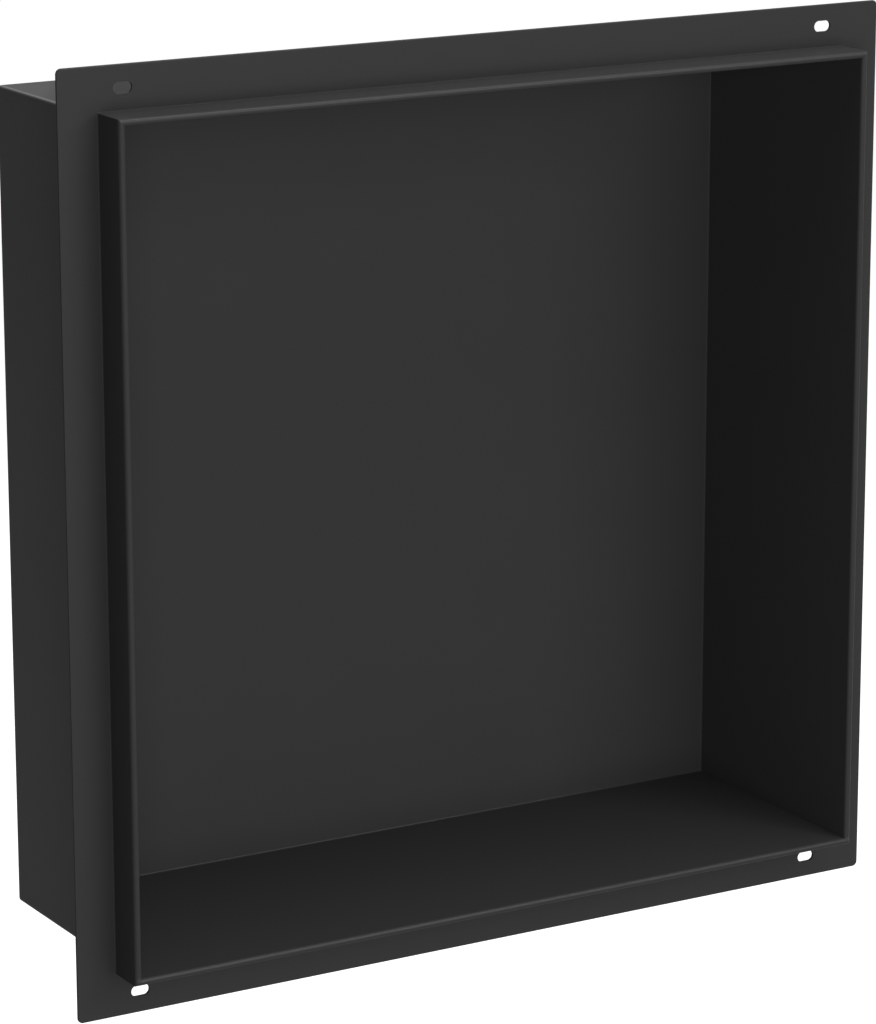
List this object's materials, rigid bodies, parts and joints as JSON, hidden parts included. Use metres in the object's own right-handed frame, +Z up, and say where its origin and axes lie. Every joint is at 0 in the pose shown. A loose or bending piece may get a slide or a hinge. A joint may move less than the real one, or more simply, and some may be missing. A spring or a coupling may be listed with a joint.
{
  "type": "shower niche insert",
  "caption": "Square recessed wall niche of folded black sheet steel: an open-fronted box whose hemmed rim stands proud of a slotted tiling flange.",
  "frame": {"origin": "middle of the flange's back face, which is also the middle of the four screw slots", "axes": "+X to the right seen from the room, +Y into the wall, +Z up; the opening faces -Y"},
  "size_m": [0.335, 0.1, 0.337],
  "materials": {
    "black_coating": "matte black powder coat"
  },
  "bodies": {
    "root": {"niche_insert": "black_coating"}
  },
  "joints": []
}
